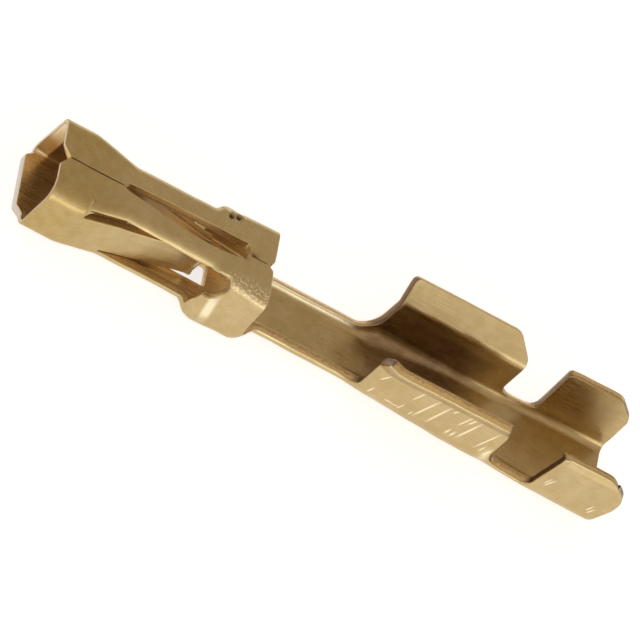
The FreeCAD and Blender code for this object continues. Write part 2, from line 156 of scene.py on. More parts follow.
# %% follow the section: a length across the blank becomes a place on the fold's outer skin
def walk(x, v, side):
    runs, lean, lower, turn_lower, upper, turn_upper = section(x, side)
    across = np.minimum(v, runs[0])
    height = np.zeros_like(across)
    v = v - runs[0]
    bent = np.clip(v, 0, runs[1]) / lower
    across = across + lower * np.sin(bent)
    height = height + lower * (1 - np.cos(bent))
    v = v - runs[1]
    straight = np.clip(v, 0, runs[2])
    across = across - straight * np.sin(lean)
    height = height + straight * np.cos(lean)
    v = v - runs[2]
    turning = np.sign(turn_upper)
    folded = turn_lower + turning * np.clip(v, 0, runs[3]) / upper
    across = across + turning * upper * (np.sin(folded) - np.sin(turn_lower))
    height = height - turning * upper * (np.cos(folded) - np.cos(turn_lower))
    v = v - runs[3]
    final = np.maximum(v, 0)
    across = across + final * np.cos(turn_lower + turn_upper)
    height = height + final * np.sin(turn_lower + turn_upper)
    return across, height


mouth_runs = section(np.array([0.4]), FAR)[0]
print("half of the mouth's blank is", round(float(sum(mouth_runs)[0]), 3), "mm wide")

# %% [markdown]
# ## The two springs
# Each side wall of the socket carries a long tongue, cut free on three sides, that leans inward and
# grips the pin. In the flat blank it lies in its window, and only its fold differs: it runs on straight
# from the taper, creases where it touches the pin, and turns out again at its tip. A spring made as a
# mesh of its own would need a joint at its root. Here the root is simply more of the same sheet.

# %% the spring's lines in the blank, and its own fold
SPRING_SILL = 0.27
SPRING_TOP = 1.1
SPRING_ROOT = WAIST_START
SPRING_END = 3.78
TOP_NARROWS = 0.03
SILL_NARROWS = 0.03
CREASE = 3.72
TIP = 3.84
REACH = ((SPRING_ROOT, SPRING_ROOT), (3.67, CREASE), (SPRING_END, TIP))
TOUCH = 0.09
TURNS_OUT = 0.03
CLOSING = ((1.0, 0.0), (SPRING_ROOT, 0.0), (CREASE, 1.0), (5.0, 1.0))
OPENING = ((3.0, 0.0), (CREASE, 0.0), (TIP, TURNS_OUT), (4.1, 0.08))
print("the springs' creases stand", 2 * TOUCH, "mm apart")


def height_to_blank(x, height, side):
    """Finds, by halving, how far across the blank the fold reaches a height. The height never falls."""
    x = np.asarray(x, float)
    runs = section(x, side)[0]
    low = runs[0] + np.zeros(x.shape)
    high = sum(runs)
    for _ in range(26):
        middle = (low + high) / 2
        above = walk(x, middle, side)[1] > height
        high = np.where(above, middle, high)
        low = np.where(above, low, middle)
    return (low + high) / 2


def spring_edges(x, side):
    share = fade(x, SPRING_ROOT, SPRING_END - SPRING_ROOT)
    low, high = SPRING_SILL + SILL_NARROWS * share, SPRING_TOP - TOP_NARROWS * share
    return height_to_blank(x, low, side), height_to_blank(x, high, side), low, high


def walk_spring(x, v, side):
    blank_low, blank_high, low, high = spring_edges(x, side)
    share = (v - blank_low) / (blank_high - blank_low)
    height = low + share * (high - low)
    foot = along(np.full_like(x, SPRING_ROOT), FOOT[side], 0)
    shoulder = along(np.full_like(x, SPRING_ROOT), SHOULDER[side], 0)
    root = foot + (shoulder - foot) * height / BOX_HEIGHT
    reach = along(x, REACH, 0.02)
    closing = along(reach, CLOSING, 0.06)
    opening = along(reach, OPENING, 0.02)
    across = root + (TOUCH + SHEET - root) * closing + opening
    return reach, across, height


# %% [markdown]
# ## From blank to contact
# A point of the blank has a place along the strip and a place across it, negative on the near side.
# The fold gives its place in space. The sheet's inner side lies one thickness further in, along the
# surface's own normal, which comes from two short steps on the same surface.

# %% which points of the blank belong to a spring
def is_spring(x, v):
    side_of = np.where(v >= 0, FAR, NEAR)
    size = np.abs(v)
    inside = (x > SPRING_ROOT) & (x < SPRING_END + 0.03)
    result = np.zeros(x.shape, bool)
    for side in (FAR, NEAR):
        here = inside & (side_of == side)
        if here.any():
            low = height_to_blank(x[here], SPRING_SILL - 0.015, side)
            high = height_to_blank(x[here], SPRING_TOP + 0.1, side)
            result[here] = (size[here] > low) & (size[here] < high)
    return result


# %% the fold of any point of the blank
def fold(x, v, spring):
    x = np.asarray(x, float)
    v = np.asarray(v, float)
    result = np.zeros(x.shape + (3,))
    for side in (FAR, NEAR):
        for sprung in (False, True):
            here = ((v >= 0) == (side == FAR)) & (spring == sprung)
            if not here.any():
                continue
            if sprung:
                reach, across, height = walk_spring(x[here], np.abs(v[here]), side)
            else:
                across, height = walk(x[here], np.abs(v[here]), side)
                reach = x[here]
            result[here] = np.stack([reach, across * side, height], axis=-1)
    return result


# %% the surface's points, normals and tangents
STEP = 0.004


def surface(x, v, spring, tangents=False):
    """The outer skin's points, and the unit normals that point into the fold."""
    here = fold(x, v, spring)
    along_x = fold(x + STEP, v, spring) - fold(x - STEP, v, spring)
    sign = np.where(v >= 0, 1, -1)
    along_v = (fold(x, v + sign * STEP, spring) - here) * sign[:, None]
    backward = (here - fold(x, v - sign * STEP, spring)) * sign[:, None]
    same_side = np.abs(v) > STEP
    along_v = along_v + np.where(same_side[:, None], backward, 0)
    normal = np.cross(along_x, along_v)
    inward = normal / np.linalg.norm(normal, axis=1)[:, None]
    if not tangents:
        return here, inward
    step_v = np.where(same_side, 2 * STEP, STEP)[:, None]
    return here, inward, along_x / (2 * STEP), along_v / step_v


crease_at = fold(np.array([3.67]), height_to_blank(np.array([3.67]), 0.7, FAR), np.array([True]))[0]
print("the far spring's crease is at", crease_at.round(3), "mm")


# %% [markdown]
# ## The blank's outline
# The outline is written as a maker would dimension it: heights on the walls, distances from the middle
# on the top and the floor. Each corner has its own rounding, because punches are never quite sharp.

# %% turn a maker's dimension into a place across the blank
def to_blank(x, kind, value):
    x = np.atleast_1d(np.asarray(x, float))
    value = np.broadcast_to(np.asarray(value, float), x.shape)
    if kind in ("blank", "floor"):
        return value
    side = NEAR if kind.startswith("near") else FAR
    if kind.endswith("top"):
        return side * (sum(section(x, side)[0]) - value * side)
    if kind.endswith("tip"):
        return side * (sum(section(x, side)[0]) + value)
    return side * height_to_blank(x, value, side)


def between(first, second, spacing=0.01):
    x0, kind, value0, _ = first
    x1, kind1, value1, _ = second
    if kind != kind1:
        value0, value1 = to_blank(x0, kind, value0)[0], to_blank(x1, kind1, value1)[0]
        kind = "blank"
    count = max(3, int(math.hypot(x1 - x0, value1 - value0) / spacing))
    share = np.arange(count) / count
    xs = x0 + (x1 - x0) * share
    return np.stack([xs, to_blank(xs, kind, value0 + (value1 - value0) * share)], axis=-1)


# %% join dimensioned corners into a smooth closed loop
def smooth_loop(corners, spacing):
    runs = [between(corner, corners[(index + 1) % len(corners)]) for index, corner in enumerate(corners)]
    rounded = []
    for index, run in enumerate(runs):
        before = runs[index - 1]
        corner = run[0]
        radius = corners[index][3]
        keep = np.linalg.norm(run - corner, axis=1) >= radius
        if radius > 0:
            back = before[np.linalg.norm(before - corner, axis=1) >= radius]
            ahead = run[keep]
            start = back[-1] if len(back) else before[len(before) // 2]
            stop = ahead[0] if len(ahead) else run[len(run) // 2]
            share = np.linspace(0, 1, 12)[1:-1, None]
            rounded.append((1 - share) ** 2 * start + 2 * share * (1 - share) * corner + share ** 2 * stop)
        following = corners[(index + 1) % len(corners)]
        next_corner = runs[(index + 1) % len(runs)][0]
        keep &= np.linalg.norm(run - next_corner, axis=1) >= following[3]
        rounded.append(run[keep])
    points = np.concatenate(rounded)
    closed = np.concatenate([points, points[:1]])
    lengths = np.concatenate([[0], np.cumsum(np.linalg.norm(np.diff(closed, axis=0), axis=1))])
    count = int(lengths[-1] / spacing)
    places = np.arange(count) * lengths[-1] / count
    return np.stack([np.interp(places, lengths, closed[:, axis]) for axis in (0, 1)], axis=-1)


# %% the outer outline, from the lip round the far side to the tail and back along the near side
SEAM = 0.015
REAR_SEAM = -0.08
FAR_EDGE = [
    (-LIP, "floor", 0.665, 0.05),
    (-0.02, "floor", 0.8, 0.04),
    (0.0, "far wall", 0.1, 0.05),
    (0.0, "far top", 0.24, 0.04),
    (0.19, "far top", SEAM, 0.03),
    (1.5, "far top", SEAM, 0.02),
    (1.58, "far top", 0.12, 0.04),
    (2.6, "far top", 0.16, 0.3),
    (4.47, "far top", 0.18, 0.06),
    (4.55, "far top", REAR_SEAM + SEAM, 0.03),
    (4.99, "far top", REAR_SEAM + SEAM, 0.03),
    (5.11, "far top", 0.05, 0.05),
    (5.12, "far wall", 1.25, 0.1),
    (5.19, "far wall", 0.5, 0.1),
    (5.24, "far wall", 0.29, 0.1),
    (7.68, "far wall", 0.29, 0.05),
    (8.08, "far wall", 0.34, 0.36),
    (8.08, "far tip", 0.0, 0.12),
    (10.67, "far tip", 0.0, 0.1),
    (11.12, "far wall", 1.34, 0.12),
    (11.12, "far wall", 0.25, 0.4),
    (11.99, "far wall", 0.25, 0.22),
    (11.99, "far tip", 0.0, 0.1),
    (13.28, "far tip", 0.0, 0.12),
    (13.7, "far wall", 1.24, 0.12),
    (13.7, "floor", 0.4, 0.0),
]
NEAR_EDGE = [
    (13.7, "floor", -0.4, 0.0),
    (13.7, "near wall", 0.12, 0.12),
    (13.92, "near wall", 0.85, 0.2),
    (13.88, "near wall", 1.25, 0.18),
    (13.45, "near tip", 0.0, 0.15),
    (12.27, "near tip", 0.0, 0.14),
    (12.17, "near wall", 0.25, 0.24),
    (11.12, "near wall", 0.2, 0.42),
    (11.12, "near wall", 1.2, 0.1),
    (10.85, "near tip", 0.0, 0.08),
    (7.92, "near tip", 0.0, 0.1),
    (7.92, "near wall", 0.33, 0.22),
    (7.7, "near wall", 0.29, 0.05),
    (5.26, "near wall", 0.29, 0.1),
    (5.19, "near wall", 0.5, 0.1),
    (5.14, "near wall", 1.2, 0.1),
    (5.11, "near top", -0.2, 0.05),
    (4.99, "near top", REAR_SEAM - SEAM, 0.03),
    (4.55, "near top", REAR_SEAM - SEAM, 0.03),
    (4.47, "near top", -0.24, 0.04),
    (3.75, "near top", -0.34, 0.1),
    (2.8, "near top", -0.28, 0.3),
    (1.55, "near top", -0.07, 0.04),
    (1.5, "near top", -SEAM, 0.02),
    (0.19, "near top", -SEAM, 0.03),
    (0.0, "near top", -0.24, 0.04),
    (0.0, "near wall", 0.1, 0.05),
    (-0.02, "floor", -0.8, 0.04),
    (-LIP, "floor", -0.665, 0.05),
]
outline = smooth_loop(FAR_EDGE + NEAR_EDGE, 0.04)
print("the outline has", len(outline), "points")


# %% the holes: a window with its spring in each side wall, and the opening in the floor
def window(side):
    wall = "far wall" if side == FAR else "near wall"
    corners = [
        (0.9, wall, 1.36, 0.03),
        (0.9, wall, SPRING_TOP, 0.03),
        (SPRING_ROOT, wall, SPRING_TOP, 0.0),
        (SPRING_END, wall, SPRING_TOP - TOP_NARROWS, 0.09),
        (SPRING_END, wall, SPRING_SILL + SILL_NARROWS, 0.09),
        (SPRING_ROOT, wall, SPRING_SILL, 0.0),
        (SPRING_ROOT, wall, SPRING_SILL - 0.03, 0.0),
        (3.87, wall, SPRING_SILL - 0.03, 0.02),
        (3.88, wall, 0.42, 0.06),
        (3.96, wall, 0.8, 0.08),
        (4.2, wall, 0.88, 0.14),
        (4.33, wall, 1.18, 0.12),
        (4.22, wall, 1.455, 0.09),
        (4.02, wall, 1.43, 0.07),
        (3.8, wall, 1.26, 0.1),
    ]
    return smooth_loop(corners, 0.03)


floor_opening = smooth_loop([
    (2.3, "floor", -0.27, 0.05),
    (4.27, "floor", -0.27, 0.05),
    (4.27, "floor", 0.32, 0.05),
    (2.3, "floor", 0.32, 0.05),
], 0.04)
loops = [outline, window(FAR), window(NEAR), floor_opening]


def turned(loop, left):
    """The loop in the order that keeps its own area on the left, or on the right."""
    x, v = loop.T
    area = np.sum(x * np.roll(v, -1) - np.roll(x, -1) * v)
    return loop if (area > 0) == left else loop[::-1]


loops = [turned(loops[0], True)] + [turned(loop, False) for loop in loops[1:]]
print("edges to roll:", [len(loop) for loop in loops])

# %% [markdown]
# ## Sheared edges
# A stamped edge is never a sharp right angle: the punch rolls one side over and leaves the rest cut.
# So the flat part of the sheet stops a little short of the outline, and a narrow rim goes round from
# the outer skin to the inner one. It is what catches the light on a real contact. A bevel modifier
# would round both sides alike, so the rim is made by hand.

# %% the rim's width: nearly sharp at the seam, wide along the channel and round the near lobed window
ROLL_OVER = {
    FAR: ((5.3, 0.03), (5.7, 0.05)),
    NEAR: ((5.3, 0.03), (5.6, 0.1), (7.5, 0.1), (7.8, 0.05)),
}
SEAM_ROLL = 0.013
SEAM_REACH = 0.4
LOBE_ROLL = 0.045
CUT_CORNER = 0.012


def roll_over(x, v):
    wide = np.where(v > 0, *(np.interp(x, *zip(*ROLL_OVER[side])) for side in (FAR, NEAR)))
    whole = np.where(v > 0, *(sum(section(x, side)[0]) for side in (FAR, NEAR)))
    share = fade(whole - np.abs(v), SEAM_REACH, 0.15)
    lobe = fade(x, 3.9, 0.1) * fade(x, 4.5, -0.05) * (v < -1) * share
    wide = wide + LOBE_ROLL * lobe
    return np.where(x < 5.1, SEAM_ROLL + (wide - SEAM_ROLL) * share, wide)


# %% step each loop back into the sheet by the rim's width
def rim_frame(loop, spring):
    place, inward = surface(loop[:, 0], loop[:, 1], spring)
    tangent = np.roll(place, -1, axis=0) - np.roll(place, 1, axis=0)
    tangent /= np.linalg.norm(tangent, axis=1)[:, None] + 1e-12
    outward = np.cross(tangent, inward)
    return place, inward, outward / (np.linalg.norm(outward, axis=1)[:, None] + 1e-12)


def step_back(loop, spring, distance):
    x, v = loop.T
    place, _, outward = rim_frame(loop, spring)
    side = np.where(v >= 0, STEP, -STEP)
    by_x = (fold(x + STEP, v, spring) - place) / STEP
    by_v = (fold(x, v + side, spring) - place) / side[:, None]
    a, b, c = (by_x * by_x).sum(1), (by_x * by_v).sum(1), (by_v * by_v).sum(1)
    p, q = (by_x * -outward).sum(1) * distance, (by_v * -outward).sum(1) * distance
    determinant = a * c - b * b + 1e-12
    return loop + np.stack([(c * p - b * q) / determinant, (a * q - b * p) / determinant], axis=-1)


springs = [is_spring(*loop.T) for loop in loops]
rims = [step_back(loop, spring, roll_over(*loop.T)) for loop, spring in zip(loops, springs)]
widths = np.concatenate([roll_over(*loop.T) for loop in loops])
print("the rims are", round(float(widths.min()), 3), "to", round(float(widths.max()), 3), "mm wide")

# %% [markdown]
# ## Filling the blank
# The folded shape is only as good as its mesh, so the flat blank is filled with an even grid of points,
# which is finer at the pits, the step of the near bend and the slanted edge of the insulation wing. A
# Delaunay triangulation then joins the grid and the rims, and no hole needs a cut of its own.

# %% fill the blank with a grid, finer where the sheet has small forms
def grid_of(low, high, spacing):
    xs = np.arange(low[0], high[0], spacing[0])
    vs = np.arange(low[1], high[1], spacing[1])
    return np.stack(np.meshgrid(xs, vs, indexing="ij"), axis=-1).reshape(-1, 2)


def within(points, low, high):
    return ((points > low) & (points < high)).all(1)


BLANK_LOW = (-0.17, -3.775)
BLANK_HIGH = (13.9, 3.8)
RIM_GAP = 0.02
grid = grid_of(BLANK_LOW, BLANK_HIGH, (0.06, 0.05))
tear = np.array([3.98, float(to_blank(3.98, "far top", 0.68)[0])])
step_at = np.array([0.87, float(to_blank(0.87, "near top", -0.8)[0])])
bevel_from = float(to_blank(13.0, "near tip", 0.0)[0]) + 0.2
FINE = [
    (tear - (0.4, 0.22), tear + (0.4, 0.22), (0.021, 0.021)),
    (step_at - (0.1, 0.3), step_at + (0.1, 0.4), (0.02, 0.04)),
    (np.array([12.3, bevel_from - 0.2]), np.array([13.9, bevel_from + 0.04]), (0.06, 0.02)),
]
for low, high, spacing in FINE:
    grid = np.concatenate([grid[~within(grid, low, high)], grid_of(low, high, spacing)])


def inside(points, polygons):
    """Even-odd test of points against several closed loops at once."""
    result = np.zeros(len(points), bool)
    for polygon in polygons:
        x0, v0 = polygon.T
        x1, v1 = np.roll(x0, -1), np.roll(v0, -1)
        for first in range(0, len(points), 4000):
            block = points[first:first + 4000]
            px, pv = block[:, :1], block[:, 1:]
            crosses = (v0 > pv) != (v1 > pv)
            with np.errstate(divide="ignore", invalid="ignore"):
                at = x0 + (pv - v0) / (v1 - v0) * (x1 - x0)
            result[first:first + 4000] ^= (crosses & (px < at)).sum(1) % 2 == 1
    return result


def distance_to(points, edge):
    nearest = np.full(len(points), 1e9)
    for first in range(0, len(points), 2000):
        block = points[first:first + 2000]
        gap = block[:, None, :] - edge[None, :, :]
        nearest[first:first + 2000] = np.sqrt((gap ** 2).sum(-1).min(1))
    return nearest


grid = grid[inside(grid, rims)]
grid = grid[distance_to(grid, np.concatenate(rims)) > RIM_GAP]
print("grid points inside the blank:", len(grid))

# %% join grid and rims into triangles
flat = np.concatenate(rims + [grid])
sprung = np.concatenate(springs + [is_spring(*grid.T)])
ring_edges = []
first = 0
for rim in rims:
    ring = list(range(first, first + len(rim)))
    ring_edges += list(zip(ring, ring[1:] + ring[:1]))
    first += len(rim)
flat_points = [Vector(point) for point in flat.tolist()]
_, _, faces, source, _, _ = delaunay_2d_cdt(flat_points, ring_edges, [], 0, 1e-9)
assert all(len(origin) == 1 for origin in source), "two points of the blank fell together"
origin = np.array([item[0] for item in source])
triangles = origin[np.array(faces)]
centres = flat[triangles].mean(1)
triangles = triangles[inside(centres, rims)]
print("triangles in the blank:", len(triangles))

# %% [markdown]
# ## Waves, dents and the torn bend
# A press never leaves thin sheet quite flat. Slow waves of a few thousandths of a millimetre bend its
# reflections, and where the far flap was pinched as it folded, the bend is torn: two pits with a small
# knob between them. The near insulation wing's edge is coined to a slant. All are lifts along the
# surface's own normal, and the normals follow their slopes, so no bump map has to pretend.

# %% lifts of the surface, in millimetres
# A wave has its rise, its two frequencies and its shift. A pit or a knob has its x, its distance past
# the tear, its radius and its rise.
WAVES = ((0.005, 1.9, 0.8, 0.0), (0.003, 4.7, -1.7, 1.1), (0.0016, 9.0, 3.1, 2.3), (0.0012, 2.1, 9.5, 0.4))
BEVEL_SLOPE = 0.4
PITS = (
    (3.96, 0.06, 0.05, -0.07),
    (4.13, 0.03, 0.055, -0.075),
    (4.04, 0.0, 0.035, 0.045),
    (4.22, 0.0, 0.05, 0.03),
    (3.86, 0.02, 0.06, 0.035),
)


def waves(x, v):
    return sum(rise * np.sin(by_x * x + by_v * v + shift) for rise, by_x, by_v, shift in WAVES)


def pits(x, v):
    lift = np.zeros(np.shape(x))
    for at_x, past_tear, radius, rise in PITS:
        away = ((x - at_x) ** 2 + (v - tear[1] - past_tear) ** 2) / radius ** 2
        lift = lift + rise * np.exp(-away)
    return lift


def bevel(x, v):
    """The near insulation wing's outer edge is coined to a slant."""
    return -BEVEL_SLOPE * np.maximum(bevel_from - v, 0) * fade(x, 12.3, 0.1)


def lifted(place, outward, by_x, by_v, lift, x, v):
    """Moves points out by a lift, and tips their normals to its slope."""
    height = lift(x, v)
    slope_x = (lift(x + STEP, v) - lift(x - STEP, v)) / (2 * STEP)
    slope_v = (lift(x, v + STEP) - lift(x, v - STEP)) / (2 * STEP)
    tipped = outward
    for slope, along_it in ((slope_x, by_x), (slope_v, by_v)):
        tipped = tipped - (slope / (along_it * along_it).sum(1))[:, None] * along_it
    return place + outward * height[:, None], tipped / np.linalg.norm(tipped, axis=1)[:, None]


# %% the sheet's thickness: full, but thinned to a lead-in round the mouth
LEAD_IN = 0.3
THINNED = 0.13


def thickness(x, v):
    return SHEET - THINNED * (1 - fade(x, 0, LEAD_IN)) * fade(np.abs(v), 0.7, 0.4)


def outer_lift(x, v):
    return waves(x, v) + pits(x, v) + bevel(x, v)


# %% the outer skin and the inner lining of the sheet
skin, inward, by_x, by_v = surface(flat[:, 0], flat[:, 1], sprung, tangents=True)
outer, outer_normal = lifted(skin, -inward, by_x, by_v, outer_lift, *flat.T)
lining, lining_normal = lifted(skin, -inward, by_x, by_v, waves, *flat.T)
thick = thickness(*flat.T)[:, None]
inner = lining + inward * thick
slant_x = (thickness(flat[:, 0] + STEP, flat[:, 1]) - thickness(flat[:, 0] - STEP, flat[:, 1])) / (2 * STEP)
inner_normal = -lining_normal - slant_x[:, None] * by_x
inner_normal /= np.linalg.norm(inner_normal, axis=1)[:, None]
count = len(flat)
points = [outer, inner]
normals = [outer_normal, inner_normal]
corners = [triangles[:, ::-1], triangles + count]
materials = [np.zeros(2 * len(triangles), int)]
layer = [np.zeros(count), np.ones(count)]
places = [flat, flat]
print("the sheet is", round(float(thick.min()), 3), "to", round(float(thick.max()), 3), "mm thick")

# %% roll the rims from the outer skin to the inner one
OUTER_TURNS = (22.5, 45, 67.5, 90)
INNER_TURNS = (90, 45, 0)
total = 2 * count
first = 0
for loop, rim, spring in zip(loops, rims, springs):
    _, _, outward = rim_frame(rim, spring)
    own = slice(first, first + len(rim))
    place = outer[own]
    into = -outer_normal[own]
    reach = roll_over(*loop.T)[:, None]
    deep = thick[own]
    rows = [np.arange(first, first + len(rim))]
    steps = [(angle, reach, 0 * deep, False) for angle in OUTER_TURNS]
    steps += [(angle, CUT_CORNER, reach - CUT_CORNER, True) for angle in INNER_TURNS]
    for angle, radius, ahead, lower in steps:
        turn = math.radians(angle)
        drop = radius * (1 - math.cos(turn))
        depth = deep - drop if lower else drop
        points.append(place + outward * (ahead + radius * math.sin(turn)) + into * depth)
        facing = (into if lower else -into) * math.cos(turn) + outward * math.sin(turn)
        normals.append(facing)
        layer.append((depth / deep).ravel())
        places.append(loop)
        rows.append(np.arange(total, total + len(rim)))
        total += len(rim)
    rows.append(np.arange(first, first + len(rim)) + count)
    for index, (low, high) in enumerate(zip(rows[:-1], rows[1:])):
        low_next, high_next = np.roll(low, -1), np.roll(high, -1)
        corners.append(np.stack([low, low_next, high_next], axis=-1))
        corners.append(np.stack([low, high_next, high], axis=-1))
        materials.append(np.full(2 * len(low), int(index == len(OUTER_TURNS))))
    first += len(rim)
print("the folded sheet has", sum(len(part) for part in points), "points")

# %% [markdown]
# ## Burrs
# Shears leave hairs and flecks of metal standing on a cut edge. Each is a short bent thorn whose root is
# sunk in the sheet, so it belongs to the same piece.

# %% a thorn: rings that shrink towards a bent tip
def thorn(root, direction, bend, length, width, sides=6, rings=5):
    direction = np.array(direction, float) / np.linalg.norm(direction)
    across = np.cross(direction, (0.3, 0.5, 0.81))
    across /= np.linalg.norm(across)
    other = np.cross(direction, across)
    made, facing, joined = [], [], []
    for ring in range(rings):
        share = ring / (rings - 1)
        middle = np.array(root) + direction * length * share + np.array(bend) * share ** 2
        radius = width / 2 * (1 - 0.85 * share)
        for side in range(sides):
            turn = math.tau * side / sides
            out = across * math.cos(turn) + other * math.sin(turn)
            made.append(middle + out * radius)
            facing.append(out)
        if ring:
            for side in range(sides):
                a, b = (ring - 1) * sides + side, (ring - 1) * sides + (side + 1) % sides
                joined += [(a, b, b + sides), (a, b + sides, a + sides)]
    last = (rings - 1) * sides
    joined += [(last, last + side, last + side + 1) for side in range(1, sides - 1)]
    return np.array(made), np.array(facing), np.array(joined)


def on_sheet(x, kind, value):
    v = to_blank(x, kind, value)
    place, into = surface(np.array([float(x)]), v, np.array([False]))
    return place[0], into[0]


# %% three burrs: one by the torn bend, one on the near wire wing's edge, one in the notch
THORNS = (
    (3.74, "far top", 0.72, (-0.4, 0.6, 0.7), (-0.02, 0.01, 0.0), 0.07, 0.13),
    (9.15, "near tip", -0.02, (-0.3, 0.1, 0.6), (0.04, 0.0, 0.0), 0.13, 0.035),
    (12.02, "near wall", 0.24, (0.2, -0.3, 0.8), (0.02, 0.0, 0.0), 0.1, 0.05),
)
for x, kind, value, direction, bend, length, width in THORNS:
    root, into = on_sheet(x, kind, value)
    made, facing, joined = thorn(root + into * width / 2, direction, bend, length, width)
    corners.append(joined + total)
    points.append(made)
    normals.append(facing)
    layer.append(np.full(len(made), 0.1))
    places.append(np.tile((x, float(to_blank(x, kind, value)[0])), (len(made), 1)))
    materials.append(np.zeros(len(joined), int))
    total += len(made)
print("burrs:", len(THORNS))

# %% [markdown]
# ## One mesh
# The real contact is one piece of sheet, so all of it goes into one mesh. The shading normals come from
# the fold itself and not from the triangles, so a bend looks round however coarse its mesh is.

# %% make the mesh, with the surface's own normals
points, normals = np.concatenate(points), np.concatenate(normals)
corners, materials = np.concatenate(corners), np.concatenate(materials)
layer, places = np.concatenate(layer), np.concatenate(places)
mesh = bpy.data.meshes.new("contact_sheet")
mesh.from_pydata(to_metres(points).tolist(), [], corners.tolist())
mesh.polygons.foreach_set("use_smooth", np.ones(len(corners), bool))
mesh.polygons.foreach_set("material_index", materials.astype(np.int32))
print("the sheet's mesh has", len(points), "points and", len(corners), "triangles")

# %% [markdown]
# ## Wear, painted shade and painted highlights
# Where a finish changes depends on the part, so it is written down on the mesh's points as named masks,
# in the blank's own lengths. The materials read them by name. Painting a texture would do as well, but
# numbers follow the shape when it changes.

# %% helpers that place a mask in the blank
across_blank, along_blank = places[:, 1], places[:, 0]
outside, inside_fold = layer < 0.5, layer > 0.6


def spot(at_x, at_v, reach_x, reach_v):
    away = ((along_blank - at_x) / reach_x) ** 2 + ((across_blank - at_v) / reach_v) ** 2
    return np.exp(-away)


def blank_at(x, kind, value):
    return float(to_blank(x, kind, value)[0])


# %% the rubbed bend of the collar
bend_v = blank_at(4.7, "near top", -0.88)
rub = np.exp(-((across_blank - bend_v) / 0.2) ** 2) * outside
rub = rub * fade(along_blank, 4.05, 0.2) * fade(along_blank, 5.25, -0.1)

# %% painted shade: in the two pits, at the slot's rear end, and on the floor behind the lobed window
painted_shade = np.zeros(len(places))
for at_x, past in ((3.96, 0.06), (4.13, 0.03)):
    painted_shade = np.maximum(painted_shade, spot(at_x, tear[1] + past, 0.07, 0.07))
painted_shade = np.maximum(painted_shade, 0.8 * spot(4.62, blank_at(4.62, "far top", -0.06), 0.1, 0.07))
painted_shade = np.maximum(painted_shade, spot(4.47, -0.5, 0.2, 0.14) * (layer > 0.5))

# %% painted highlights: the mouth's far lining, the near wing's end, the springs' ends, the channel's wall
painted_highlight = fade(along_blank, 0.36, -0.08) * fade(across_blank, 1.55, 0.2)
painted_highlight = painted_highlight * (layer > 0.7) * fade(across_blank, 2.7, -0.2)
wing_end = spot(11.02, blank_at(11.02, "near wall", 0.42), 0.07, 0.2) * (layer < 0.3)
skins = np.arange(len(places)) < 2 * count
on_spring = np.concatenate([sprung, sprung, np.zeros(len(places) - 2 * count, bool)])
spring_end = fade(along_blank, 3.1, 0.4) * skins * outside * on_spring
upper_wall = fade(across_blank, blank_at(6.5, "far wall", 0.1), 0.1) * inside_fold
channel_wall = upper_wall * fade(along_blank, 5.5, 0.2) * fade(along_blank, 7.9, -0.3)
for share, place in ((0.8, wing_end), (0.9, spring_end), (0.8, channel_wall)):
    painted_highlight = np.maximum(painted_highlight, share * place)

# %% painted shade: the lining of the wire barrel, below the far wing's crease
barrel_shade = fade(along_blank, 7.7, 0.6) * fade(along_blank, 10.9, -0.7) * inside_fold
barrel_shade = barrel_shade * fade(across_blank, blank_at(9.5, "far wall", 1.1), -0.12) * fade(across_blank, -1.3, 0.4)

# %% write the masks on the mesh
for name, values in (("rub", rub), ("painted_shade", painted_shade), ("painted_highlight", painted_highlight), ("barrel_shade", barrel_shade)):
    mesh.attributes.new(name, "FLOAT", "POINT").data.foreach_set("value", values.astype(np.float32))
    print("the mask", name, "covers", int((values > 0.5).sum()), "points")
blank = np.column_stack([places, layer]).astype(np.float32)
mesh.attributes.new("blank", "FLOAT_VECTOR", "POINT").data.foreach_set("vector", blank.ravel())
mesh.normals_split_custom_set_from_vertices(normals.tolist())
mesh.update()
contact = bpy.data.objects.new("contact", mesh)
bpy.context.scene.collection.objects.link(contact)
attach(contact, "root")
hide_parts("crimp_socket_contact")

# %% [markdown]
# ## Helpers for materials
# The effects below are node groups: each has named inputs and outputs, is built once, and is placed in
# every material that shows it. A few small helpers keep their making readable.

# %% helpers that add a node and feed its inputs
def feed(tree, node, inputs):
    """An input takes either a plain value or another node's output."""
    for key, value in inputs.items():
        if isinstance(value, bpy.types.NodeSocket):
            tree.links.new(value, node.inputs[key])
        else:
            node.inputs[key].default_value = value
    return node


def add(tree, kind, settings=None, inputs=None):
    node = tree.nodes.new("ShaderNode" + kind)
    for key, value in (settings or {}).items():
        setattr(node, key, value)
    return feed(tree, node, inputs or {})


def calc(tree, kind, first, second=0.0, third=0.0):
    return add(tree, "Math", {"operation": kind}, {0: first, 1: second, 2: third}).outputs[0]


def vectors(tree, kind, first, second):
    node = add(tree, "VectorMath", {"operation": kind}, {0: first, 1: second})
    return node.outputs["Value" if kind in ("DOT_PRODUCT", "LENGTH") else "Vector"]


def ramp(tree, value, low, high, start=0.0, end=1.0, smooth=True):
    settings = {"interpolation_type": "SMOOTHSTEP" if smooth else "LINEAR"}
    inputs = {"Value": value, "From Min": low, "From Max": high, "To Min": start, "To Max": end}
    return add(tree, "MapRange", settings, inputs).outputs["Result"]


def blend(tree, share, first, second, weight=1.0):
    """A mix of two colours by a mask, or by a fixed part of that mask."""
    if weight != 1.0:
        share = calc(tree, "MULTIPLY", share, weight)
    first, second = ((*value, 1) if isinstance(value, tuple) else value for value in (first, second))
    return add(tree, "Mix", {"data_type": "RGBA"}, {0: share, 6: first, 7: second}).outputs[2]


